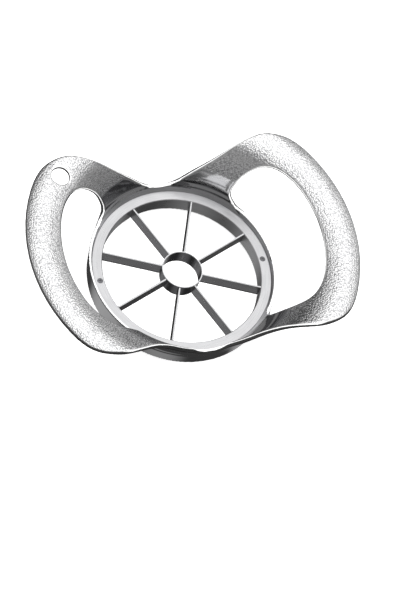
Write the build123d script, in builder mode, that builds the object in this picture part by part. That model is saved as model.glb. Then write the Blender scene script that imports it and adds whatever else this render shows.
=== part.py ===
from build123d import *
import math
import os

# Eight-way fruit slicer and corer, pressed down by two looped handles.
# Frame of the model: origin at the middle of the collar's bottom rim, on the
# axis of the blades.  +X runs through the two handles, +Z is up (the side
# that the slices come out of).  All sizes in millimetres.

# ---------------------------------------------------------------- dimensions
unit = 45.0                      # clear radius inside the blade ring

# blade ring (separate insert in the collar)
ring_ir = 45.0
ring_or = 50.80
ring_z0 = 1.90
ring_top = 11.25
ring_edge = 0.35                 # bright edge chamfers of the ring face

# collar of the casting
collar_ir = 50.85
collar_or_top = 53.10
collar_or_bottom = 51.80
rim_top = ring_top + 4.10        # rim stands above the ring face
rim_ir = 51.88                   # the bore opens out slightly above the ring
rim_round = 0.60
ledge_ir = 45.90
ledge_top = 1.85

# blades
blade_count = 8
blade_t = 1.00
blade_z0 = 2.70
blade_top = 11.20
blade_first_deg = 22.5
bevel_h = 1.60                   # height of the ground cutting edge
edge_land = 0.14
tab_outer_r = 46.90              # tongue that sits in the ring
tab_outer_z = (3.60, 8.80)
tab_inner_z = (4.20, 8.40)       # tongue that sits in the corer tube
slot_gap = 0.05

# corer tube
core_or = 11.50
core_ir = 10.90
core_z0 = 1.95
core_top = 11.60

# ring screws
screw_r = 47.60                  # radius of the two screws from the axis
screw_head_r = 1.60
screw_shank_r = 0.80
screw_head_h = 0.80

# casting: shallow revolved dish (web) running out into the two handle loops
sheet_t = 3.00                   # upright thickness of handles and outer web
root_t = 2.20                    # extra thickness of the steep web at the collar
hole_x, hole_y, hole_r = -63.8, 49.2, 5.0
handle_or = 2.055 * unit         # outer arc of the handles
handle_arc_deg = 30.5            # half angle of that arc
loop_r = 1.627 * unit            # outer arc of the finger openings
loop_arc_deg = 19.5
edge_round = 1.00                # rounding of the casting's edges
hole_round = 0.40                # rounding of the hanging hole
waist_x = 10.0                   # half width of the low waist on either side
waist_end_z = 19.7               # height of the rounded edge where the waist begins

# upper skin of the dish: radius and height over the ring face, in units
dish = [(1.168, 0.155), (1.20, 0.227), (1.25, 0.322), (1.30, 0.410),
        (1.35, 0.482), (1.40, 0.540), (1.45, 0.590), (1.50, 0.630),
        (1.55, 0.662), (1.60, 0.687), (1.65, 0.707), (1.70, 0.724),
        (1.75, 0.738), (1.80, 0.749), (1.85, 0.755), (1.90, 0.757),
        (1.95, 0.752), (2.00, 0.742), (2.05, 0.727), (2.12, 0.700)]

# outline of one quadrant: polar angle in degrees and radius in units,
# from the end of the handle arc to the waist
outline = [(33.0, 2.052), (35.5, 2.043), (38.0, 2.025), (40.5, 1.995),
           (43.0, 1.951), (45.5, 1.897), (48.0, 1.827), (50.5, 1.737),
           (53.0, 1.644), (55.5, 1.560), (58.0, 1.487), (60.5, 1.428),
           (63.0, 1.380), (65.5, 1.342), (68.0, 1.310), (70.5, 1.283),
           (73.0, 1.260), (75.5, 1.240), (78.0, 1.221), (80.5, 1.203),
           (83.0, 1.184), (86.0, 1.163)]
waist_r = 1.146                  # under the crease: the wall dips to the rim

# corner of one finger opening, from its outer arc to the collar, in units
corner = [(1.4790, 0.6670), (1.4030, 0.7850), (1.3000, 0.8890),
          (1.1750, 0.9500), (1.0420, 0.9620), (0.9120, 0.9360)]
tip_deg, tip_r = 46.6, 1.185     # where the opening meets the collar wall
ramp_deg = 39.5                  # the wall has run down to the rim here

# ---------------------------------------------------------------- casting
rad = math.radians


def polar(deg, r):
    return (r * unit * math.cos(rad(deg)), r * unit * math.sin(rad(deg)))


top_line = [(r * unit, ring_top + z * unit) for r, z in dish]
under_line = [(r * unit, ring_top + z * unit - sheet_t
               - root_t * min(max((1.62 - r) / 0.34, 0), 1) ** 2)
              for r, z in dish[3:]]

with BuildPart() as web:
    # dish with the solid root where it grows out of the collar
    with BuildSketch(Plane.XZ):
        with BuildLine():
            skin = Spline(top_line)
            under = Spline([(52.6, 10.0), (53.0, 13.0), (54.2, 16.4), (56.1, 20.3)] + under_line,
                           tangents=[(0.05, 1), (1, -0.40)])
            Polyline(under @ 0, (collar_ir, 10.0), (collar_ir, ring_top), skin @ 0)
            Line(skin @ 1, under @ 1)
        make_face()
    revolve(axis=Axis.Z)
    # outline of web and handles, less the finger openings and the hanging hole
    with BuildSketch() as plan:
        with BuildLine():
            arc = ThreePointArc(polar(-handle_arc_deg, 2.055), (handle_or, 0),
                                polar(handle_arc_deg, 2.055))
            side = Spline([arc @ 1] + [polar(a, r) for a, r in outline]
                          + [(0, waist_r * unit)],
                          tangents=[arc % 1, (-1, 0)])
            mirror(side, about=Plane.YZ)
            mirror(arc, about=Plane.YZ)
            mirror(side, about=Plane.XZ)
            mirror(mirror(side, about=Plane.XZ, mode=Mode.PRIVATE), about=Plane.YZ)
        make_face()
        # one finger opening; it also takes the dish over the collar away
        with BuildSketch(mode=Mode.PRIVATE) as loop:
            with BuildLine():
                outer = ThreePointArc(polar(-loop_arc_deg, loop_r / unit), (loop_r, 0),
                                      polar(loop_arc_deg, loop_r / unit))
                tip = polar(tip_deg, tip_r)
                up = Spline([outer @ 1] + [(x * unit, y * unit) for x, y in corner] + [tip],
                            tangents=[outer % 1, (-0.62, -0.78)])
                mirror(up, about=Plane.XZ)
                low = polar(ramp_deg, 1.125)
                Polyline(tip, low, (40, low[1] * 0.9), (40, -low[1] * 0.9),
                         (low[0], -low[1]), (tip[0], -tip[1]))
            make_face()
        add(loop.sketch, mode=Mode.SUBTRACT)
        add(mirror(loop.sketch, about=Plane.YZ, mode=Mode.PRIVATE), mode=Mode.SUBTRACT)
        with Locations((hole_x, hole_y)):
            Circle(hole_r, mode=Mode.SUBTRACT)
    extrude(amount=60, mode=Mode.INTERSECT)



def on_line(line, e, tol=0.35):
    """True for an edge whose middle lies on the revolved line."""
    p = e @ 0.5
    r = math.hypot(p.X, p.Y)
    for (ra, za), (rb, zb) in zip(line, line[1:]):
        if ra <= r <= rb:
            return abs(za + (zb - za) * (r - ra) / (rb - ra) - p.Z) < tol
    return False


def rim_edges(part, line):
    """Long rim edges of one skin, away from the waist cut and the crease."""
    return [e for e in part.edges()
            if e.length > 10 and abs((e @ 0.5).X) > waist_x + 0.5 and on_line(line, e)
            and math.hypot((e @ 0.5).X, (e @ 0.5).Y) > dish[0][0] * unit + 1
            and not at_hole(e)]


def at_hole(e):
    """True for the two rims of the hanging hole."""
    p = e @ 0.5
    return abs(math.hypot(p.X - hole_x, p.Y - hole_y) - hole_r) < 0.05 and e.length > 20


# edges of the two handle halves are rounded; the low waist stays as cast
halves = []
for sign in (1, -1):
    with BuildPart() as half:
        add(web.part)
        split(bisect_by=Plane.YZ.offset(sign * waist_x),
              keep=Keep.TOP if sign > 0 else Keep.BOTTOM)
        fillet(rim_edges(half, top_line) + rim_edges(half, under_line), radius=edge_round)
        if sign < 0:
            fillet([e for e in half.edges() if at_hole(e)], radius=hole_round)
    halves.append(half.part)

with BuildPart() as waist:
    add(web.part)
    split(bisect_by=Plane.YZ.offset(waist_x), keep=Keep.BOTTOM)
    split(bisect_by=Plane.YZ.offset(-waist_x), keep=Keep.TOP)
    # its top dips in a shallow arc to the rim of the collar
    with BuildSketch(Plane.XZ):
        with BuildLine():
            ThreePointArc((-waist_x - 1, waist_end_z + 0.9), (0, rim_top - 0.1),
                          (waist_x + 1, waist_end_z + 0.9))
            Polyline((waist_x + 1, waist_end_z + 0.9), (waist_x + 1, 40),
                     (-waist_x - 1, 40), (-waist_x - 1, waist_end_z + 0.9))
        make_face()
    extrude(amount=70, both=True, mode=Mode.SUBTRACT)

with BuildPart() as frame:
    # collar: rim, tapered skirt and the ledge that carries the ring
    with BuildSketch(Plane.XZ):
        with BuildLine():
            Polyline((ledge_ir, 0.3), (ledge_ir + 0.3, 0), (collar_or_bottom - 0.5, 0),
                     (collar_or_bottom, 0.5), (collar_or_top, rim_top - rim_round),
                     (collar_or_top - rim_round * 0.3, rim_top - rim_round * 0.3),
                     (collar_or_top - rim_round, rim_top),
                     (rim_ir + 0.25, rim_top), (rim_ir, rim_top - 0.25),
                     (collar_ir, ring_top), (collar_ir, ledge_top),
                     (ledge_ir, ledge_top), (ledge_ir, 0.3))
        make_face()
    revolve(axis=Axis.Z)
    add(halves[0])
    add(halves[1])
    add(waist.part)
    # tapped holes for the ring screws
    with Locations((screw_r, 0, 0), (-screw_r, 0, 0)):
        Cylinder(screw_shank_r + 0.02, ledge_top * 4, mode=Mode.SUBTRACT)
frame.part.label = "frame"

# ---------------------------------------------------------------- blade ring
with BuildPart() as blade_ring:
    with BuildSketch(Plane.XY.offset(ring_z0)):
        Circle(ring_or)
        Circle(ring_ir, mode=Mode.SUBTRACT)
    extrude(amount=ring_top - ring_z0)
    rims = blade_ring.edges().filter_by(GeomType.CIRCLE).group_by(Axis.Z)
    chamfer(rims[-1], length=ring_edge)
    chamfer(rims[0].sort_by(SortBy.RADIUS)[-1], length=0.4)
    # slots for the blade tongues, open at the bottom of the ring
    with BuildSketch(Plane.XY.offset(ring_z0)):
        with PolarLocations(0, blade_count, start_angle=blade_first_deg):
            with Locations(((ring_ir + tab_outer_r + slot_gap) / 2, 0)):
                Rectangle(tab_outer_r + slot_gap - ring_ir + 1.0, blade_t + 2 * slot_gap)
    extrude(amount=tab_outer_z[1] + slot_gap - ring_z0, mode=Mode.SUBTRACT)
    # countersunk screw holes
    with BuildSketch(Plane.XZ) as csk:
        with BuildLine():
            g = 0.04
            Polyline((0, ring_z0 - 1), (screw_shank_r + g, ring_z0 - 1),
                     (screw_shank_r + g, ring_top - screw_head_h - g),
                     (screw_head_r + g, ring_top - 0.12),
                     (screw_head_r + g, ring_top + 1), (0, ring_top + 1), close=True)
        make_face()
    bit = revolve(csk.sketch, axis=Axis.Z, mode=Mode.PRIVATE)
    add(bit.moved(Location((screw_r, 0, 0))), mode=Mode.SUBTRACT)
    add(bit.moved(Location((-screw_r, 0, 0))), mode=Mode.SUBTRACT)
blade_ring.part.label = "blade_ring"

# ---------------------------------------------------------------- corer tube
with BuildPart() as corer:
    with BuildSketch(Plane.XY.offset(core_z0)):
        Circle(core_or)
        Circle(core_ir, mode=Mode.SUBTRACT)
    extrude(amount=core_top - core_z0)
    # the lower rim is ground to a cutting edge from outside
    low_out = corer.edges().filter_by(GeomType.CIRCLE).group_by(Axis.Z)[0].sort_by(SortBy.RADIUS)[-1]
    chamfer(low_out, length=1.6, length2=core_or - core_ir - 0.12,
            reference=corer.faces().filter_by(GeomType.CYLINDER).sort_by(SortBy.AREA)[-1])
    # windows for the blade tongues
    with BuildSketch(Plane.XY.offset(tab_inner_z[0] - slot_gap)):
        with PolarLocations(0, blade_count, start_angle=blade_first_deg):
            with Locations(((core_or + core_ir) / 2, 0)):
                Rectangle(core_or - core_ir + 0.6, blade_t + 2 * slot_gap)
    extrude(amount=tab_inner_z[1] - tab_inner_z[0] + 2 * slot_gap, mode=Mode.SUBTRACT)
corer.part.label = "corer_tube"

# ---------------------------------------------------------------- blades
blade_r0, blade_r1 = core_or + 0.01, ring_ir - 0.02
blades = []
for n in range(blade_count):
    ang = rad(blade_first_deg + n * 360 / blade_count)
    out = Vector(math.cos(ang), math.sin(ang), 0)
    across = Vector(-math.sin(ang), math.cos(ang), 0)
    with BuildPart() as blade:
        with BuildSketch(Plane(origin=out * blade_r0, x_dir=across, z_dir=out)):
            with BuildLine():
                Polyline((-blade_t / 2, blade_z0 + bevel_h), (-edge_land / 2, blade_z0),
                         (edge_land / 2, blade_z0), (blade_t / 2, blade_z0 + bevel_h),
                         (blade_t / 2, blade_top - 0.12), (blade_t / 2 - 0.12, blade_top),
                         (-blade_t / 2 + 0.12, blade_top), (-blade_t / 2, blade_top - 0.12),
                         close=True)
            make_face()
        extrude(amount=blade_r1 - blade_r0)
        for (z0, z1), (r0, r1) in ((tab_outer_z, (blade_r1 - 0.5, tab_outer_r)),
                                   (tab_inner_z, (core_ir + 0.02, blade_r0 + 0.5))):
            with BuildSketch(Plane(origin=out * r0, x_dir=across, z_dir=out)):
                with Locations((0, (z0 + z1) / 2)):
                    Rectangle(blade_t, z1 - z0)
            extrude(amount=r1 - r0)
    blade.part.label = "blade_%d" % (n + 1)
    blades.append(blade.part)

# ---------------------------------------------------------------- ring screws
with BuildPart() as screws:
    with BuildSketch(Plane.XZ) as shape:
        with BuildLine():
            Polyline((0, 0.25), (screw_shank_r - 0.25, 0.25), (screw_shank_r, 0.5),
                     (screw_shank_r, ring_top - screw_head_h),
                     (screw_head_r, ring_top - 0.14), (screw_head_r, ring_top - 0.04),
                     (screw_head_r - 0.08, ring_top + 0.02), (0, ring_top + 0.02), close=True)
        make_face()
    screw = revolve(shape.sketch, axis=Axis.Z, mode=Mode.PRIVATE)
    with BuildSketch(Plane.XY.offset(ring_top - 0.38), mode=Mode.PRIVATE) as cross:
        Rectangle(1.55, 0.42)
        Rectangle(0.42, 1.55)
    recess = extrude(cross.sketch, amount=1.0, mode=Mode.PRIVATE)
    one = screw - recess
    add(one.moved(Location((screw_r, 0, 0), (0, 0, 1), 25)))
    add(one.moved(Location((-screw_r, 0, 0), (0, 0, 1), 70)))
screws.part.label = "ring_screws"

# ---------------------------------------------------------------- export
os.makedirs("parts", exist_ok=True)
export_step(frame.part, "parts/frame.step")
export_step(blade_ring.part, "parts/blade_ring.step")
export_step(corer.part, "parts/corer_tube.step")
for blade_part in blades:
    export_step(blade_part, "parts/%s.step" % blade_part.label)
export_step(screws.part, "parts/ring_screws.step")

for shown in [frame.part, blade_ring.part, corer.part, screws.part] + blades:
    box = shown.bounding_box()
    print("%-12s solids %d volume %.1f  x %.2f..%.2f  y %.2f..%.2f  z %.2f..%.2f" % (
        shown.label, len(shown.solids()), shown.volume, box.min.X, box.max.X,
        box.min.Y, box.max.Y, box.min.Z, box.max.Z))
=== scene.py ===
import bpy, bmesh, math
import numpy as np
from mathutils import Vector, Matrix


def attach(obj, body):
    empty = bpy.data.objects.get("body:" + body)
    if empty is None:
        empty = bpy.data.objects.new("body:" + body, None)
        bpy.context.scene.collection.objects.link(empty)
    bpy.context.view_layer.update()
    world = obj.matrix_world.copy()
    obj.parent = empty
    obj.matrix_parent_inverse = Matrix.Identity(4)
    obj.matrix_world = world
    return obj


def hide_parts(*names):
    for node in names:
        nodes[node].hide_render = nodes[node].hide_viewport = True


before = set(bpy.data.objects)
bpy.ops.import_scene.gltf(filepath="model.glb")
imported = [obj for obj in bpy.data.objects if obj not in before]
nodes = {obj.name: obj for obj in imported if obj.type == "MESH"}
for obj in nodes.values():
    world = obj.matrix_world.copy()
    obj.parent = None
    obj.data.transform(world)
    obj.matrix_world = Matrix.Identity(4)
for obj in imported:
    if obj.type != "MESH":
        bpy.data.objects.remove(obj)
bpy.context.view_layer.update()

MM = 0.001

# ------------------------------------------------------------------ sizes (mm)
U = 45.0
ZR = 11.25                    # face of the blade ring
RING_OR = 50.80
HALF = 1.40                   # half thickness of web and handles
DISH = [(1.168, 0.155), (1.20, 0.227), (1.25, 0.322), (1.30, 0.410),
        (1.35, 0.482), (1.40, 0.540), (1.45, 0.590), (1.50, 0.630),
        (1.55, 0.662), (1.60, 0.687), (1.65, 0.707), (1.70, 0.724),
        (1.75, 0.738), (1.80, 0.749), (1.85, 0.755), (1.90, 0.757),
        (1.95, 0.752), (2.00, 0.742), (2.05, 0.727), (2.12, 0.700)]
OUTLINE = [(33.0, 2.052), (35.5, 2.043), (38.0, 2.025), (40.5, 1.995),
           (43.0, 1.951), (45.5, 1.897), (48.0, 1.827), (50.5, 1.737),
           (53.0, 1.644), (55.5, 1.560), (58.0, 1.487), (60.5, 1.428),
           (63.0, 1.380), (65.5, 1.342), (68.0, 1.310), (70.5, 1.283)]
# from there to the waist the edge is given by its height
WAIST = [(73.0, 23.35), (75.5, 21.35), (78.0, 19.55), (80.5, 17.93),
         (83.0, 16.55), (86.0, 15.43), (90.0, 14.8)]
CORNER = [(1.4790, 0.6670), (1.4030, 0.7850), (1.3000, 0.8890),
          (1.1750, 0.9500), (1.0420, 0.9620), (0.9120, 0.9360)]
HOLE = (-63.8, 49.2, 5.0)


# ------------------------------------------------------------------ curves
def spline(pts, step=0.15, t0=None, t1=None):
    """Cubic spline through the points, sampled about every step."""
    p = np.array(pts, float)
    d = np.hypot(*np.diff(p, axis=0).T)
    t = np.r_[0, np.cumsum(d)]
    n = len(p)
    A = np.zeros((n, n)); B = np.zeros((n, 2))
    h = np.diff(t)
    for i in range(1, n - 1):
        A[i, i - 1] = h[i]; A[i, i] = 2 * (h[i - 1] + h[i]); A[i, i + 1] = h[i - 1]
        B[i] = 3 * (h[i] * (p[i] - p[i - 1]) / h[i - 1] + h[i - 1] * (p[i + 1] - p[i]) / h[i])
    for i, j, tt in ((0, 1, t0), (n - 1, n - 2, t1)):
        if tt is None:
            A[i, i] = 2; A[i, j] = 1
            B[i] = 3 * (p[max(i, j)] - p[min(i, j)]) / h[min(i, j)]
        else:
            A[i, i] = 1; v = np.array(tt, float); B[i] = v / np.hypot(*v)
    m = np.linalg.solve(A, B)
    s = np.linspace(0, t[-1], max(2, int(t[-1] / step)))
    k = np.clip(np.searchsorted(t, s, side="right") - 1, 0, n - 2)
    x = ((s - t[k]) / h[k])[:, None]; hh = h[k][:, None]
    return ((2 * x**3 - 3 * x**2 + 1) * p[k] + (x**3 - 2 * x**2 + x) * hh * m[k]
            + (-2 * x**3 + 3 * x**2) * p[k + 1] + (x**3 - x**2) * hh * m[k + 1])


def resample(p, step):
    d = np.r_[0, np.cumsum(np.linalg.norm(np.diff(p, axis=0), axis=1))]
    s = np.linspace(0, d[-1], max(2, int(d[-1] / step)))
    return np.stack([np.interp(s, d, p[:, i]) for i in range(p.shape[1])], 1)


# upper skin in the (r, z) half plane: conical wall over the ring, then the dish
top = np.vstack([[(50.85, ZR - 1.0), (50.85, ZR)],
                 spline([(r * U, ZR + z * U) for r, z in DISH], 0.2, t0=(0.30, 1.0))])
top = resample(top, 0.2)
tan = np.gradient(top, axis=0)
for _ in range(12):           # soften the crease a little
    tan[1:-1] = (tan[:-2] + 2 * tan[1:-1] + tan[2:]) / 4
tan /= np.linalg.norm(tan, axis=1)[:, None]
nor = np.stack([-tan[:, 1], tan[:, 0]], 1)          # towards the inside of the dish


def half_at(r, z):
    """Half thickness: thinner where the web stands on the collar."""
    return 0.95 + (HALF - 0.95) * np.clip((z - 13.0) / 9.0, 0, 1)


mid = top - nor * half_at(top[:, 0], top[:, 1])[:, None]
mid = resample(mid, 0.15)
mid_s = np.r_[0, np.cumsum(np.linalg.norm(np.diff(mid, axis=0), axis=1))]
S_MAX = mid_s[-1]
mid_h = half_at(mid[:, 0], mid[:, 1])


def s_of_r(r):
    k = np.searchsorted(mid[:, 1], 22.0)
    return np.interp(r, mid[k:, 0], mid_s[k:])


def s_of_z(z):
    k = int(np.argmax(mid[:, 1]))
    return np.interp(z, mid[:k, 1], mid_s[:k])


def on_mid(s, th):
    r = np.interp(s, mid_s, mid[:, 0]); z = np.interp(s, mid_s, mid[:, 1])
    return np.stack([r * np.cos(th), r * np.sin(th), z], -1)


def dev(s, th):
    """Developed plane in which the outlines are tested."""
    return np.stack([(s + 40) * np.cos(th), (s + 40) * np.sin(th)], -1)


def plan_to_st(xy):
    r = np.hypot(xy[:, 0], xy[:, 1]); th = np.arctan2(xy[:, 1], xy[:, 0])
    return np.stack([s_of_r(r), th], 1)


# one quadrant of the outline, from the handle's middle to the waist
a = np.radians(np.arange(0, 30.6, 0.15))
arc = np.stack([2.055 * U * np.cos(a), 2.055 * U * np.sin(a)], 1)
pts = [tuple(arc[-1])] + [(r * U * math.cos(math.radians(t)), r * U * math.sin(math.radians(t))) for t, r in OUTLINE]
side = spline(pts, 0.15, t0=(-math.sin(a[-1]), math.cos(a[-1])))
st_side = plan_to_st(side)
st_arc = plan_to_st(arc)
end = st_side[-1]
wst = [(90 - math.degrees(end[1]), end[0])] + [(90 - t, float(s_of_z(z))) for t, z in WAIST]
k0 = st_side[-6]
slope = (-(math.degrees(end[1]) - math.degrees(k0[1])), end[0] - k0[0])
w = spline(wst, 0.1, t0=slope, t1=(-1, 0))
st_waist = np.stack([w[:, 1], np.radians(90 - w[:, 0])], 1)
outline_st = np.vstack([st_arc, st_side[1:], st_waist[1:]])

# one quadrant of a finger opening, from its middle to the collar
b = np.radians(np.arange(0, 19.6, 0.15))
LOOP = 1.627 * U
arc2 = np.stack([LOOP * np.cos(b), LOOP * np.sin(b)], 1)
TIP = (46.6, 1.185)
tip = (TIP[1] * U * math.cos(math.radians(TIP[0])), TIP[1] * U * math.sin(math.radians(TIP[0])))
cor = spline([tuple(arc2[-1])] + [(x * U, y * U) for x, y in CORNER] + [tip], 0.15,
             t0=(-math.sin(b[-1]), math.cos(b[-1])), t1=(-0.62, -0.78))
st_loop = plan_to_st(np.vstack([arc2, cor[1:]]))
tip_s = st_loop[-1, 0]
ramp = np.array([(tip_s, 46.6), (float(s_of_z(18.6)), 45.2), (float(s_of_z(16.4)), 42.3),
                 (float(s_of_z(14.6)), 39.0), (float(s_of_z(13.0)), 36.0), (0.0, 30.0)])
ramp = spline(ramp, 0.1)
st_ramp = np.stack([ramp[:, 0], np.radians(ramp[:, 1])], 1)
opening_st = np.vstack([st_loop, st_ramp[1:]])


def inside(poly, q):
    """Even-odd test of points q in a closed polygon."""
    res = np.zeros(len(q), bool)
    x, y = q[:, 0], q[:, 1]
    for (x0, y0), (x1, y1) in zip(poly, np.roll(poly, -1, axis=0)):
        if y0 == y1:
            continue
        c = ((y0 > y) != (y1 > y)) & (x < (x1 - x0) * (y - y0) / (y1 - y0) + x0)
        res ^= c
    return res


# signed distance to the edges over the mid surface, for one quadrant
DS, DT = 0.3, math.radians(0.3)
gs = np.arange(0, S_MAX + 4, DS); gt = np.arange(0, math.radians(90) + DT * 1.5, DT)
GS, GT = np.meshgrid(gs, gt, indexing="ij")
dist = np.full(GS.size, 1e9)
P = on_mid(np.minimum(GS, S_MAX), GT).reshape(-1, 3)
over = np.maximum(GS - S_MAX, 0).ravel()
for st in (outline_st, opening_st):
    B = resample(on_mid(st[:, 0], st[:, 1]), 0.25)
    B = np.vstack([B, B * (1, -1, 1), B * (-1, 1, 1)])
    keep = (B[:, 0] > -6) & (B[:, 1] > -6)
    B = B[keep]
    for i in range(0, len(P), 4000):
        q = P[i:i + 4000]
        d2 = (q * q).sum(1)[:, None] + (B * B).sum(1)[None] - 2 * q @ B.T
        dist[i:i + 4000] = np.minimum(dist[i:i + 4000], np.sqrt(np.maximum(d2.min(1), 0)))
Q = dev(GS, GT).reshape(-1, 2)
ol = dev(outline_st[:, 0], outline_st[:, 1])
inn = inside(np.vstack([ol, [(-50, ol[-1, 1]), (-50, -50), (ol[0, 0], -50)]]), Q)
op = dev(opening_st[:, 0], opening_st[:, 1])
hole_in = inside(np.vstack([op, [(0, 0), (0, -50), (op[0, 0], -50)]]), Q)
sign = np.where(inn & ~hole_in, 1.0, -1.0)
EDGE = (dist * sign - over).reshape(GS.shape)


def table(T, x, y, x0, y0, dx, dy):
    i = np.clip((x - x0) / dx, 0, T.shape[0] - 1.001); j = np.clip((y - y0) / dy, 0, T.shape[1] - 1.001)
    i0 = i.astype(np.int32); j0 = j.astype(np.int32)
    u = (i - i0).astype(np.float32); v = (j - j0).astype(np.float32)
    return (T[i0, j0] * (1 - u) * (1 - v) + T[i0 + 1, j0] * u * (1 - v)
            + T[i0, j0 + 1] * (1 - u) * v + T[i0 + 1, j0 + 1] * u * v)


# distance to the mid curve and place of its foot, over the (r, z) half plane
R0, Z0, DR = 44.0, -4.0, 0.25
gr = np.arange(R0, 100, DR); gz = np.arange(Z0, 50, DR)
GR, GZ = np.meshgrid(gr, gz, indexing="ij")
q = np.stack([GR.ravel(), GZ.ravel()], 1)
best = np.empty(len(q)); foot = np.empty(len(q)); hh = np.empty(len(q))
for i in range(0, len(q), 4000):
    c = q[i:i + 4000]
    d2 = (c * c).sum(1)[:, None] + (mid * mid).sum(1)[None] - 2 * c @ mid.T
    k = d2.argmin(1)
    k = np.clip(k, 1, len(mid) - 2)
    # exact foot on the two neighbouring segments
    bd = np.full(len(c), 1e18); bf = np.zeros(len(c)); bh = np.zeros(len(c))
    for e in (k - 1, k):
        p0, p1 = mid[e], mid[e + 1]
        v = p1 - p0
        u = np.clip(((c - p0) * v).sum(1) / (v * v).sum(1), 0, 1)
        w2 = c - (p0 + v * u[:, None])
        dd = (w2 * w2).sum(1)
        m = dd < bd
        bd[m] = dd[m]; bf[m] = (mid_s[e] + u * (mid_s[e + 1] - mid_s[e]))[m]
        bh[m] = (mid_h[e] + u * (mid_h[e + 1] - mid_h[e]))[m]
    best[i:i + 4000] = np.sqrt(bd); foot[i:i + 4000] = bf; hh[i:i + 4000] = bh
ABS = best.reshape(GR.shape); FOOT = foot.reshape(GR.shape); HH = hh.reshape(GR.shape)

# collar in the (r, z) half plane, as a rounded polygon
CR = 0.25
collar = np.array([(45.9, 0.0), (51.62, 0.0), (53.10, 15.35), (51.88, 15.35), (50.85, 11.25),
                   (50.85, 1.85), (45.9, 1.85)])


def poly_sdf(poly, c):
    d = np.full(len(c), 1e9)
    for p0, p1 in zip(poly, np.roll(poly, -1, axis=0)):
        v = p1 - p0
        u = np.clip(((c - p0) @ v) / (v @ v), 0, 1)
        d = np.minimum(d, np.linalg.norm(c - (p0 + u[:, None] * v), axis=1))
    return np.where(inside(poly, c), -d, d)


DC = 0.125
cr_ = np.arange(44.0, 58.0, DC); cz_ = np.arange(-3, 22, DC)
CRG, CZG = np.meshgrid(cr_, cz_, indexing="ij")
cq = np.stack([CRG.ravel(), CZG.ravel()], 1)
# shrink the polygon by the rounding and grow it back
inset = np.array([(46.15, 0.25), (51.38, 0.25), (52.83, 15.10), (52.13, 15.10), (51.10, 11.2),
                  (51.10, 1.6), (46.15, 1.6)])
COLLAR = (poly_sdf(inset, cq) - CR).reshape(CRG.shape)


def smin(a, b, k):
    h = np.maximum(k - np.abs(a - b), 0) / k
    return np.minimum(a, b) - h * h * k * 0.25


def casting(x, y, z):
    """Signed distance of the casting (negative inside), mm."""
    r = np.hypot(x, y)
    th = np.arctan2(np.abs(y), np.abs(x))
    ab = table(ABS, r, z, R0, Z0, DR, DR)
    ft = table(FOOT, r, z, R0, Z0, DR, DR)
    h = table(HH, r, z, R0, Z0, DR, DR)
    e = -table(EDGE, ft, th, 0, 0, DS, DT)
    e = np.maximum(e, HOLE[2] + 0.0 - np.hypot(x - HOLE[0], y - HOLE[1]))
    rho = h * 0.98
    qx = ab - (h - rho); qy = e + rho
    sheet = np.hypot(np.maximum(qx, 0), np.maximum(qy, 0)) + np.minimum(np.maximum(qx, qy), 0) - rho
    col = np.where((r < 57.9) & (z < 21.8) & (r > 44.0), table(COLLAR, r, z, 44.0, -3.0, DC, DC), 9.0)
    return smin(sheet, col, 0.9)


# ------------------------------------------------------------------ surface
def surface(fn, lo, hi, h):
    """Dual surface of fn = 0 on a grid, then projected onto it exactly."""
    n = [int(math.ceil((hi[i] - lo[i]) / h)) + 1 for i in range(3)]
    ax = [lo[i] + h * np.arange(n[i]) for i in range(3)]
    F = np.empty(n, np.float32)
    X, Y = np.meshgrid(ax[0], ax[1], indexing="ij")
    for k, zz in enumerate(ax[2]):
        F[:, :, k] = fn(X, Y, np.full_like(X, zz))
    neg = F < 0
    c = np.zeros([m - 1 for m in n], np.int8)
    for dx in (0, 1):
        for dy in (0, 1):
            for dz in (0, 1):
                c += neg[dx:n[0] - 1 + dx, dy:n[1] - 1 + dy, dz:n[2] - 1 + dz]
    act = (c > 0) & (c < 8)
    idx = np.full(act.shape, -1, np.int64)
    cells = np.argwhere(act)
    idx[act] = np.arange(len(cells))
    acc = np.zeros((len(cells), 3)); cnt = np.zeros(len(cells))
    for axis in range(3):
        for o1 in (0, 1):
            for o2 in (0, 1):
                off = [0, 0, 0]; others = [i for i in range(3) if i != axis]
                off[others[0]], off[others[1]] = o1, o2
                a0 = cells + off
                a1 = a0.copy(); a1[:, axis] += 1
                f0 = F[tuple(a0.T)]; f1 = F[tuple(a1.T)]
                m = (f0 < 0) != (f1 < 0)
                t = np.where(m, f0 / np.where(f0 == f1, 1, f0 - f1), 0)
                p = a0.astype(float); p[:, axis] += t
                acc[m] += p[m]; cnt[m] += 1
    V = acc / cnt[:, None] * h + np.array(lo)
    quads = []
    for axis in range(3):
        o = [i for i in range(3) if i != axis]
        sl0 = [slice(None)] * 3; sl1 = [slice(None)] * 3
        sl0[axis] = slice(0, -1); sl1[axis] = slice(1, None)
        cross = neg[tuple(sl0)] != neg[tuple(sl1)]
        e = np.argwhere(cross)
        ok = np.ones(len(e), bool)
        for i in o:
            ok &= (e[:, i] > 0) & (e[:, i] < n[i] - 1)
        e = e[ok]
        flip = neg[tuple(e.T)]
        def cell(d0, d1):
            q = e.copy(); q[:, o[0]] -= d0; q[:, o[1]] -= d1
            return idx[tuple(q.T)]
        qd = np.stack([cell(1, 1), cell(0, 1), cell(0, 0), cell(1, 0)], 1)
        if axis == 1:
            flip = ~flip
        qd[~flip] = qd[~flip][:, ::-1]
        quads.append(qd)
    quads = np.vstack(quads)
    for _ in range(3):
        g = gradient(fn, V)
        f = fn(V[:, 0], V[:, 1], V[:, 2])
        V -= np.clip(f, -0.3, 0.3)[:, None] * g / np.maximum((g * g).sum(1), 0.2)[:, None]
    return V, quads


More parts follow.
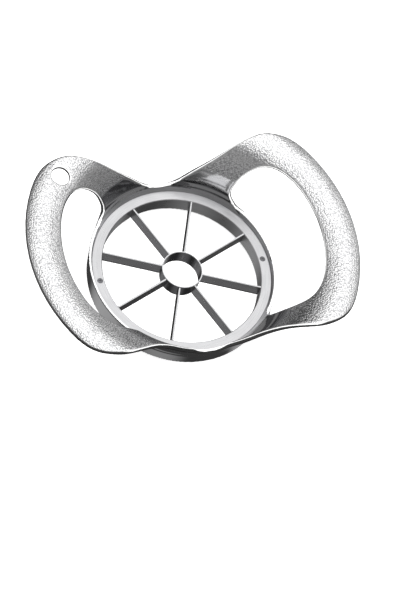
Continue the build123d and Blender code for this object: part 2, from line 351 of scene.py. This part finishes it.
def gradient(fn, V, e=0.06):
    g = np.empty_like(V)
    for i in range(3):
        a = V.copy(); a[:, i] += e
        b = V.copy(); b[:, i] -= e
        g[:, i] = (fn(a[:, 0], a[:, 1], a[:, 2]) - fn(b[:, 0], b[:, 1], b[:, 2])) / (2 * e)
    return g


def relax(V, quads, fn, rounds=2):
    """Evens the points out along the surface."""
    i = np.r_[quads[:, 0], quads[:, 1], quads[:, 2], quads[:, 3]]
    j = np.r_[quads[:, 1], quads[:, 2], quads[:, 3], quads[:, 0]]
    for _ in range(rounds):
        s = np.zeros_like(V); c = np.zeros(len(V))
        np.add.at(s, i, V[j]); np.add.at(c, i, 1)
        np.add.at(s, j, V[i]); np.add.at(c, j, 1)
        V = V * 0.5 + 0.5 * s / c[:, None]
        for _ in range(2):
            g = gradient(fn, V)
            f = fn(V[:, 0], V[:, 1], V[:, 2])
            V -= np.clip(f, -0.3, 0.3)[:, None] * g / np.maximum((g * g).sum(1), 0.2)[:, None]
    return V


def even_normals(N, quads, rounds=3):
    """Averages each normal with its neighbours, but not across an edge."""
    i = np.r_[quads[:, 0], quads[:, 1], quads[:, 2], quads[:, 3]]
    j = np.r_[quads[:, 1], quads[:, 2], quads[:, 3], quads[:, 0]]
    for _ in range(rounds):
        w = np.exp(-(1 - (N[i] * N[j]).sum(1)) / 0.03)[:, None]
        s = N * 1.0
        np.add.at(s, i, N[j] * w); np.add.at(s, j, N[i] * w)
        N = s / np.linalg.norm(s, axis=1)[:, None]
    return N


def new_object(name, V, faces, mat, smooth=True):
    me = bpy.data.meshes.new(name)
    V = np.asarray(V, float) * MM
    F = np.asarray(faces)
    me.vertices.add(len(V)); me.vertices.foreach_set("co", V.astype(np.float32).ravel())
    me.loops.add(F.size); me.loops.foreach_set("vertex_index", F.astype(np.int32).ravel())
    me.polygons.add(len(F)); me.polygons.foreach_set("loop_start", np.arange(0, F.size, F.shape[1], dtype=np.int32))
    me.update(calc_edges=True)
    me.validate()
    me.polygons.foreach_set("use_smooth", np.full(len(me.polygons), smooth))
    ob = bpy.data.objects.new(name, me)
    bpy.context.scene.collection.objects.link(ob)
    me.materials.append(mat)
    return ob


# ------------------------------------------------------------------ materials
class Nodes:
    def __init__(self, name):
        self.mat = bpy.data.materials.new(name)
        self.mat.use_nodes = True
        self.t = self.mat.node_tree
        self.t.nodes.clear()
        self.out = self.n("ShaderNodeOutputMaterial")
        self.bsdf = self.n("ShaderNodeBsdfPrincipled")
        self.link(self.bsdf.outputs[0], self.out.inputs[0])

    def n(self, kind, **kw):
        x = self.t.nodes.new(kind)
        for k, v in kw.items():
            setattr(x, k, v)
        return x

    def link(self, a, b):
        self.t.links.new(a, b)

    def math(self, op, a, b=None, c=None, clamp=False):
        x = self.n("ShaderNodeMath", operation=op, use_clamp=clamp)
        for i, v in enumerate((a, b, c)):
            if v is None:
                continue
            if isinstance(v, (int, float)):
                x.inputs[i].default_value = v
            else:
                self.link(v, x.inputs[i])
        return x.outputs[0]

    def ramp(self, src, stops, interp="LINEAR"):
        x = self.n("ShaderNodeValToRGB")
        x.color_ramp.interpolation = interp
        el = x.color_ramp.elements
        while len(el) < len(stops):
            el.new(0.5)
        for e, (p, c) in zip(el, stops):
            e.position = p
            e.color = (c, c, c, 1) if isinstance(c, (int, float)) else (*c, 1)
        self.link(src, x.inputs[0])
        return x.outputs[0]

    def map(self, src, a0, a1, b0, b1):
        x = self.n("ShaderNodeMapRange")
        for i, v in enumerate((a0, a1, b0, b1)):
            x.inputs[i + 1].default_value = v
        self.link(src, x.inputs[0])
        return x.outputs[0]

    def mixc(self, fac, a, b):
        x = self.n("ShaderNodeMix", data_type="RGBA")
        if isinstance(fac, (int, float)):
            x.inputs[0].default_value = fac
        else:
            self.link(fac, x.inputs[0])
        for i, v in ((6, a), (7, b)):
            if isinstance(v, tuple):
                x.inputs[i].default_value = (*v, 1)
            else:
                self.link(v, x.inputs[i])
        return x.outputs[2]

    def coords(self):
        return self.n("ShaderNodeTexCoord").outputs["Object"]

    def noise(self, vec, scale, detail=2.0, rough=0.5):
        x = self.n("ShaderNodeTexNoise")
        x.inputs["Scale"].default_value = scale
        x.inputs["Detail"].default_value = detail
        x.inputs["Roughness"].default_value = rough
        self.link(vec, x.inputs["Vector"])
        return x.outputs["Fac"]

    def bump(self, height, dist, strength=1.0, normal=None):
        x = self.n("ShaderNodeBump")
        x.inputs["Strength"].default_value = strength
        x.inputs["Distance"].default_value = dist
        self.link(height, x.inputs["Height"])
        if normal is not None:
            self.link(normal, x.inputs["Normal"])
        return x.outputs[0]


def polar(m, vec):
    """radius, angle in radians and z of the object coordinates."""
    s = m.n("ShaderNodeSeparateXYZ"); m.link(vec, s.inputs[0])
    r = m.math("SQRT", m.math("ADD", m.math("MULTIPLY", s.outputs[0], s.outputs[0]),
                              m.math("MULTIPLY", s.outputs[1], s.outputs[1])))
    a = m.math("ARCTAN2", s.outputs[1], s.outputs[0])
    return r, a, s.outputs[2], s


def cast_metal():
    m = Nodes("casting_bright")
    v = m.coords()

    def att(name):
        return m.n("ShaderNodeAttribute", attribute_name=name, attribute_type="GEOMETRY")

    # mm to the border of the grain, mm from the nearest edge, 1 on the skin and
    # 0 on the wall of an edge, 1 where the edge carries a polished bevel
    edge = att("edge").outputs["Fac"]
    side = att("side").outputs["Fac"]
    bevel = att("bevel").outputs["Fac"]
    g = m.math("MULTIPLY", m.map(att("grain").outputs["Fac"], -0.3, 0.3, 0.0, 1.0), m.map(edge, 1.0, 1.35, 0.0, 1.0))
    rim = m.map(edge, 1.0, 1.35, 1.0, 0.0)
    # pebbled grain in rows that follow the outline
    flow = att("flow").outputs["Vector"]
    fs = m.n("ShaderNodeSeparateXYZ"); m.link(flow, fs.inputs[0])
    rows = m.math("SINE", m.math("MULTIPLY", m.math("ADD", fs.outputs[0], m.map(m.noise(v, 300, 1.0), 0.0, 1.0, -0.6, 0.6)), 5.4))
    vor = m.n("ShaderNodeTexVoronoi", feature="F1")
    vor.inputs["Scale"].default_value = 1150
    vor.inputs["Randomness"].default_value = 0.85
    m.link(v, vor.inputs["Vector"])
    d = vor.outputs["Distance"]
    dd = m.math("MULTIPLY", d, d)
    n1 = m.noise(v, 1700, 1.0, 0.5)
    h = m.math("ADD", m.math("MULTIPLY", dd, -0.80), m.math("MULTIPLY", n1, 0.14))
    h = m.math("ADD", h, m.math("MULTIPLY", rows, 0.05))
    h = m.math("MULTIPLY", m.math("MULTIPLY", h, g), m.map(att("grain").outputs["Fac"], 2.0, 11.0, 2.0, 1.0))
    fine = m.noise(v, 260, 3.0, 0.5)
    b = m.bump(h, 0.00016, 1.0)
    b2 = m.bump(fine, 0.00001, 1.0, b)
    # polished bevel of the edges looks up
    white = m.math("MULTIPLY", m.math("MULTIPLY", bevel, m.map(edge, 0.50, 0.72, 1.0, 0.0)), m.map(side, 0.52, 0.62, 0.0, 1.0))
    mx = m.n("ShaderNodeMix", data_type="VECTOR")
    m.link(m.math("MULTIPLY", white, 0.86), mx.inputs[0])
    m.link(b2, mx.inputs[4]); mx.inputs[5].default_value = (0, 0, 1)
    nn = m.n("ShaderNodeVectorMath", operation="NORMALIZE"); m.link(mx.outputs[1], nn.inputs[0])
    m.link(nn.outputs[0], m.bsdf.inputs["Normal"])
    # dark colour on the walls of the edges, narrower where an edge has a bevel: painted shade
    lo = m.map(bevel, 0.0, 1.0, 0.93, 0.50)
    hi = m.map(bevel, 0.0, 1.0, 0.985, 0.64)
    edge_wall_shade = m.n("ShaderNodeMapRange")
    m.link(side, edge_wall_shade.inputs[0]); m.link(lo, edge_wall_shade.inputs[1]); m.link(hi, edge_wall_shade.inputs[2])
    edge_wall_shade.inputs[3].default_value = 1.0; edge_wall_shade.inputs[4].default_value = 0.0
    edge_wall_shade = m.math("MULTIPLY", m.math("MULTIPLY", edge_wall_shade.outputs[0], m.map(edge, 1.2, 1.45, 1.0, 0.0)), m.map(side, -0.6, -0.4, 0.0, 1.0))
    # grain colour: pale cell tops, darker cell valleys; the darker valleys are painted shade in the creases
    col = m.mixc(m.map(d, 0.25, 0.72, 0.0, 1.0), (0.98, 0.98, 0.98), (0.60, 0.60, 0.61))
    col = m.mixc(g, m.mixc(rim, (0.66, 0.66, 0.67), (0.96, 0.96, 0.96)), col)
    # the 0.16 grey on the edge walls is painted shade
    col = m.mixc(edge_wall_shade, col, (0.16, 0.16, 0.16))
    tint = m.map(m.noise(v, 60, 3.0), 0.3, 0.7, 0.92, 1.0)
    mul = m.n("ShaderNodeMix", data_type="RGBA", blend_type="MULTIPLY")
    mul.inputs[0].default_value = 1.0
    m.link(col, mul.inputs[6]); m.link(tint, mul.inputs[7])
    m.link(mul.outputs[2], m.bsdf.inputs["Base Color"])
    m.bsdf.inputs["Metallic"].default_value = 1.0
    rough = m.math("ADD", m.math("MULTIPLY", g, 0.04), m.map(fine, 0.3, 0.7, 0.06, 0.09))
    m.link(rough, m.bsdf.inputs["Roughness"])
    return m.mat


def lit_top_mask(m, lo=0.4, hi=0.8):
    """1 on faces that look up, 0 on the sides; it gives the tops their lighter colour, painted light, and the sides
    their darker colour, painted shade.
    """
    geo = m.n("ShaderNodeNewGeometry")
    s = m.n("ShaderNodeSeparateXYZ"); m.link(geo.outputs["True Normal"], s.inputs[0])
    return m.map(s.outputs[2], lo, hi, 0.0, 1.0)


def brushed(name, base, dark, r_lo, r_hi):
    """Ring: lathe-brushed face; the bore and the other sides take a darker colour, which is painted shade."""
    m = Nodes(name)
    v = m.coords()
    r, a, z, s = polar(m, v)
    c = m.n("ShaderNodeCombineXYZ")
    m.link(m.math("MULTIPLY", r, 5200.0), c.inputs[0])
    m.link(m.math("MULTIPLY", a, 5.0), c.inputs[1])
    m.link(m.math("MULTIPLY", z, 5200.0), c.inputs[2])
    n = m.noise(c.outputs[0], 1.0, 2.0, 0.6)
    n2 = m.noise(v, 90, 3.0)
    face = lit_top_mask(m)
    col = m.mixc(m.map(n, 0.3, 0.7, 0.0, 1.0), dark, base)
    # darker colour for the bore and the sides: painted shade
    side = m.mixc(m.map(n, 0.3, 0.7, 0.0, 1.0), tuple(c * 0.9 for c in dark), dark)
    m.link(m.mixc(face, side, col), m.bsdf.inputs["Base Color"])
    m.bsdf.inputs["Metallic"].default_value = 1.0
    m.bsdf.inputs["Anisotropic"].default_value = 0.85
    t = m.n("ShaderNodeTangent", direction_type="RADIAL", axis="Z")
    m.link(t.outputs[0], m.bsdf.inputs["Tangent"])
    m.link(m.math("ADD", m.map(n, 0.25, 0.75, r_lo, r_hi), m.map(n2, 0.3, 0.7, -0.03, 0.03)), m.bsdf.inputs["Roughness"])
    m.link(m.bump(n, 0.00002, 1.0), m.bsdf.inputs["Normal"])
    return m.mat


def polished(name, top, side, r_lo, r_hi, streaks=False):
    """Polished steel; faces that look up take the lighter top colour, painted light, and the sides the darker side
    colour, painted shade; blades have fine streaks along them.
    """
    m = Nodes(name)
    v = m.coords()
    r, a, z, s = polar(m, v)
    n = m.noise(v, 700, 3.0, 0.6)
    n2 = m.noise(v, 120, 2.0)
    face = lit_top_mask(m)
    k = m.map(n2, 0.3, 0.7, 0.0, 1.0)
    sc = m.mixc(k, side, tuple(min(1, c * 1.2) for c in side))
    if streaks:
        c2 = m.n("ShaderNodeCombineXYZ")
        m.link(m.math("MULTIPLY", r, 60.0), c2.inputs[0]); m.link(m.math("MULTIPLY", z, 2600.0), c2.inputs[1])
        streak = m.map(m.noise(c2.outputs[0], 1.0, 2.0), 0.3, 0.7, 0.85, 1.1)
        mul = m.n("ShaderNodeMix", data_type="RGBA", blend_type="MULTIPLY")
        mul.inputs[0].default_value = 1.0
        m.link(sc, mul.inputs[6]); m.link(streak, mul.inputs[7])
        sc = mul.outputs[2]
    # lighter tops and darker sides: painted light and painted shade
    m.link(m.mixc(face, sc, top), m.bsdf.inputs["Base Color"])
    m.bsdf.inputs["Metallic"].default_value = 1.0
    m.link(m.map(n, 0.3, 0.7, r_lo, r_hi), m.bsdf.inputs["Roughness"])
    m.link(m.bump(n, 0.000015, 1.0), m.bsdf.inputs["Normal"])
    return m.mat


mat_cast = cast_metal()
# ring, blades and corer: the darker colours that go on the sides are painted shade
mat_ring = brushed("ring_brushed", (0.70, 0.70, 0.71), (0.54, 0.54, 0.55), 0.26, 0.36)
mat_blade = polished("blade_polished", (0.58, 0.58, 0.59), (0.29, 0.29, 0.30), 0.18, 0.28, True)
mat_core = polished("corer_polished", (0.58, 0.58, 0.59), (0.20, 0.20, 0.21), 0.18, 0.28)
mat_screw = polished("screw_dark", (0.16, 0.16, 0.17), (0.16, 0.16, 0.17), 0.18, 0.30)

# ------------------------------------------------------------------ casting
H = 0.605
V, quads = surface(casting, (-93.2, -62.0, -1.0), (93.2, 62.0, 46.4), H)
V = relax(V, quads, casting, 2)
r = np.hypot(V[:, 0], V[:, 1]); th = np.degrees(np.arctan2(np.abs(V[:, 1]), np.abs(V[:, 0])))
grad = gradient(casting, V); grad /= np.linalg.norm(grad, axis=1)[:, None]
# the grain covers handles and the outer web, the wall by the collar is smooth
turn = np.degrees(np.arctan2(V[:, 1], V[:, 0]))
start = (1.275 + 0.125 * np.clip((26 - np.abs(turn + 60)) / 6, 0, 1)) * U
g = r - start
foot_s = table(FOOT, r, V[:, 2], R0, Z0, DR, DR)
edge = table(EDGE, foot_s, np.radians(th), 0, 0, DS, DT)
edge = np.minimum(edge, np.hypot(V[:, 0] - HOLE[0], V[:, 1] - HOLE[1]) - HOLE[2])
edge = np.where(V[:, 2] > 14.0, edge, 9.0)
# 1 on the upper skin, 0 on the wall of an edge, -1 on the lower skin
mt = np.gradient(mid, axis=0); mt /= np.linalg.norm(mt, axis=1)[:, None]
tr = np.interp(foot_s, mid_s, mt[:, 0]); tz = np.interp(foot_s, mid_s, mt[:, 1])
ct, sn = V[:, 0] / r, V[:, 1] / r
face = -tz * (grad[:, 0] * ct + grad[:, 1] * sn) + tr * grad[:, 2]
# edges with a polished bevel: the right opening, the left one next to the
# collar, the hole, and the outline from the shoulders of the loops inwards
hole_d = np.hypot(V[:, 0] - HOLE[0], V[:, 1] - HOLE[1])
bevel = np.where(V[:, 0] > 0, np.clip((76 - V[:, 0]) / 4, 0, 1), np.clip((V[:, 0] + 62) / 5, 0, 1))
outer = (np.abs(V[:, 1]) > 46) | (r > 1.80 * U)
bevel = np.where(outer, np.clip((58 - np.abs(V[:, 0])) / 6, 0, 1), bevel)
bevel = np.where(hole_d < 7.5, 1.0, bevel)
# bright land on the collar's lip
lip = np.clip((53.6 - r) / 0.6, 0, 1) * np.clip((V[:, 2] - 14.2) / 0.5, 0, 1) * np.clip((grad[:, 2] - 0.25) / 0.3, 0, 1)
bevel = np.maximum(bevel, lip); edge = edge + (0.5 - edge) * lip; face = np.maximum(face, lip)
# rows of the grain: distance from the outline and length along it
line = resample(on_mid(outline_st[:, 0], outline_st[:, 1]), 0.4)
run = np.r_[0, np.cumsum(np.linalg.norm(np.diff(line, axis=0), axis=1))]
fold = np.stack([np.abs(V[:, 0]), np.abs(V[:, 1]), V[:, 2]], 1)
flow = np.zeros((len(V), 3))
for i in range(0, len(V), 8000):
    c = fold[i:i + 8000]
    d2 = (c * c).sum(1)[:, None] + (line * line).sum(1)[None] - 2 * c @ line.T
    k = np.clip(d2.argmin(1), 1, len(line) - 2)
    bd = np.full(len(c), 1e18); bv = np.zeros(len(c))
    for e in (k - 1, k):
        p0, p1 = line[e], line[e + 1]
        w3 = p1 - p0
        u = np.clip(((c - p0) * w3).sum(1) / (w3 * w3).sum(1), 0, 1)
        dd = ((c - (p0 + w3 * u[:, None])) ** 2).sum(1)
        m_ = dd < bd
        bd[m_] = dd[m_]; bv[m_] = (run[e] + u * (run[e + 1] - run[e]))[m_]
    flow[i:i + 8000, 0] = np.sqrt(bd); flow[i:i + 8000, 1] = bv
ob = new_object("casting", V, quads, mat_cast)
at = ob.data.attributes.new("grain", "FLOAT", "POINT")
at.data.foreach_set("value", g.astype(np.float32))
at = ob.data.attributes.new("flow", "FLOAT_VECTOR", "POINT")
at.data.foreach_set("vector", flow.astype(np.float32).ravel())
for name, val in (("edge", edge), ("side", face), ("bevel", bevel)):
    at = ob.data.attributes.new(name, "FLOAT", "POINT")
    at.data.foreach_set("value", val.astype(np.float32))
wide = gradient(casting, V, 0.15); wide /= np.linalg.norm(wide, axis=1)[:, None]
ob.data.normals_split_custom_set_from_vertices(even_normals(wide, quads).astype(np.float32))
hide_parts("frame")
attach(ob, "root")

for n, o in nodes.items():
    if n == "frame":
        continue
    mat = {"blade_ring": mat_ring, "ring_screws": mat_screw, "corer_tube": mat_core}.get(n, mat_blade)
    if not o.material_slots:
        o.data.materials.append(mat)
    for s in o.material_slots:
        s.material = mat

# ------------------------------------------------------------------ floor
fl = Nodes("floor_pale")
v = fl.coords()
fl.link(fl.mixc(fl.map(fl.noise(v, 3.0, 2.0), 0.3, 0.7, 0.0, 1.0), (0.86, 0.86, 0.86), (0.88, 0.88, 0.88)), fl.bsdf.inputs["Base Color"])
fl.bsdf.inputs["Roughness"].default_value = 0.9
fl.bsdf.inputs["Specular IOR Level"].default_value = 0.1
fl.bsdf.inputs["Emission Color"].default_value = (1, 1, 1, 1)
fl.bsdf.inputs["Emission Strength"].default_value = 0.72      # a floor lit from behind
bm = bmesh.new()
bmesh.ops.create_grid(bm, x_segments=8, y_segments=8, size=3.0)
me = bpy.data.meshes.new("floor"); bm.to_mesh(me); bm.free()
floor = bpy.data.objects.new("floor", me)
floor.location = (0, 0, -0.0003)
bpy.context.scene.collection.objects.link(floor)
me.materials.append(fl.mat)

# ------------------------------------------------------------------ camera
el, rho = math.radians(57.883), math.radians(-25.459)
D, F_PX, TX, TY = 27.356, 2234.7, -0.22216, 0.37732
psi = math.radians(37.9)
rv = Vector((1, 0, 0)); uv = Vector((0, math.sin(el), math.cos(el))); bv = Vector((0, -math.cos(el), math.sin(el)))
cx = -TX * math.cos(rho) - TY * math.sin(rho)
cy = TX * math.sin(rho) - TY * math.cos(rho)
loc = rv * cx + uv * cy + bv * D
right = rv * math.cos(rho) - uv * math.sin(rho)
up = rv * math.sin(rho) + uv * math.cos(rho)
Rz = Matrix.Rotation(-psi, 3, "Z")
loc = (Rz @ loc) * (U * MM) + Vector((0, 0, ZR * MM))
M3 = Matrix((Rz @ right, Rz @ up, Rz @ bv)).transposed()
cam_data = bpy.data.cameras.new("camera")
cam = bpy.data.objects.new("camera", cam_data)
bpy.context.scene.collection.objects.link(cam)
cam.matrix_world = Matrix.Translation(loc) @ M3.to_4x4()
cam_data.sensor_width = 36
cam_data.lens = F_PX * 36 / 601
cam_data.clip_start = 0.01
cam_data.clip_end = 20
bpy.context.scene.camera = cam

# ------------------------------------------------------------------ light
# A soft studio as a smooth field of light over direction: a broad white
# overhead panel, grey walls that fall off to the floor, a low white panel on
# the left, and black card on the right and behind the camera.
world = bpy.data.worlds.new("world")
bpy.context.scene.world = world
world.use_nodes = True
wt = world.node_tree
bg = wt.nodes["Background"]


class Sky:
    def __init__(self):
        self.dir = wt.nodes.new("ShaderNodeTexCoord").outputs["Generated"]

    def dot(self, az, elev):
        x = wt.nodes.new("ShaderNodeVectorMath"); x.operation = "DOT_PRODUCT"
        a, e = math.radians(az), math.radians(elev)
        x.inputs[1].default_value = (math.cos(a) * math.cos(e), math.sin(a) * math.cos(e), math.sin(e))
        wt.links.new(self.dir, x.inputs[0])
        return x.outputs["Value"]

    def step(self, src, a0, a1, b0, b1):
        x = wt.nodes.new("ShaderNodeMapRange"); x.interpolation_type = "SMOOTHSTEP"
        for i, v in enumerate((a0, a1, b0, b1)):
            x.inputs[i + 1].default_value = v
        wt.links.new(src, x.inputs[0])
        return x.outputs[0]

    def blob(self, az, elev, inner, outer, b_out, b_in):
        """b_in within inner degrees of the direction, b_out beyond outer."""
        return self.step(self.dot(az, elev), math.cos(math.radians(outer)), math.cos(math.radians(inner)), b_out, b_in)

    def op(self, kind, a, b):
        x = wt.nodes.new("ShaderNodeMath"); x.operation = kind
        for i, v in enumerate((a, b)):
            if isinstance(v, (int, float)):
                x.inputs[i].default_value = v
            else:
                wt.links.new(v, x.inputs[i])
        return x.outputs[0]


sky = Sky()
AWAY = 52.1                   # azimuth that the camera looks along
parts = [
    sky.blob(AWAY - 10, 70, 16, 44, 0.0, 1.42),       # overhead panel
    sky.blob(AWAY - 28, 4, 9, 44, 0.0, 0.48),         # far wall
    sky.blob(AWAY + 98, 18, 18, 48, 0.0, 0.46),       # left wall
    sky.blob(AWAY + 172, 36, 16, 50, 0.0, 0.26),      # wall behind the camera
    sky.blob(AWAY - 108, 32, 16, 50, 0.0, 0.34),      # right wall
    sky.op("MULTIPLY", sky.step(sky.dot(0, 90), -0.82, -0.62, 0.0, 0.16), sky.step(sky.dot(0, 90), -0.22, -0.04, 1.0, 0.0)),
    sky.blob(AWAY - 36, -54, 5, 14, 0.0, 0.36),       # low card on the right
    sky.blob(AWAY + 202, -60, 6, 22, 0.0, 0.27),      # table towards the camera
    sky.blob(AWAY + 98, -58, 8, 25, 0.0, 0.40),       # table on the left
    sky.blob(AWAY + 196, 6, 4, 26, 0.0, 0.06),        # gap behind the camera
    sky.op("MULTIPLY", sky.blob(AWAY + 180, 0, 25, 60, 0.0, 0.50),
           sky.op("SUBTRACT", 1.0, sky.step(sky.op("ABSOLUTE", sky.op("SUBTRACT", sky.dot(0, 90), 0.020), 0.0), 0.002, 0.009, 0.0, 1.0))),
]
lit = 0.05
for p in parts:
    lit = sky.op("ADD", lit, p)
wt.links.new(lit, bg.inputs["Strength"])
bg.inputs["Color"].default_value = (1, 1, 1, 1)


def area(name, az, elev, dist_m, size, power, sy=None, glossy=True):
    L = bpy.data.lights.new(name, "AREA")
    L.shape = "RECTANGLE"
    L.size = size; L.size_y = sy or size
    L.energy = power
    o = bpy.data.objects.new(name, L)
    bpy.context.scene.collection.objects.link(o)
    a, e = math.radians(az), math.radians(elev)
    d = Vector((math.cos(a) * math.cos(e), math.sin(a) * math.cos(e), math.sin(e)))
    o.location = d * dist_m
    o.rotation_euler = (-d).to_track_quat("-Z", "Y").to_euler()
    o.visible_glossy = glossy
    return o


area("fill_top", AWAY, 85, 1.2, 1.6, 22, glossy=False)
floor.visible_glossy = False

bpy.context.scene.view_settings.view_transform = "Standard"
bpy.context.scene.view_settings.exposure = 0.0

bpy.context.view_layer.update()
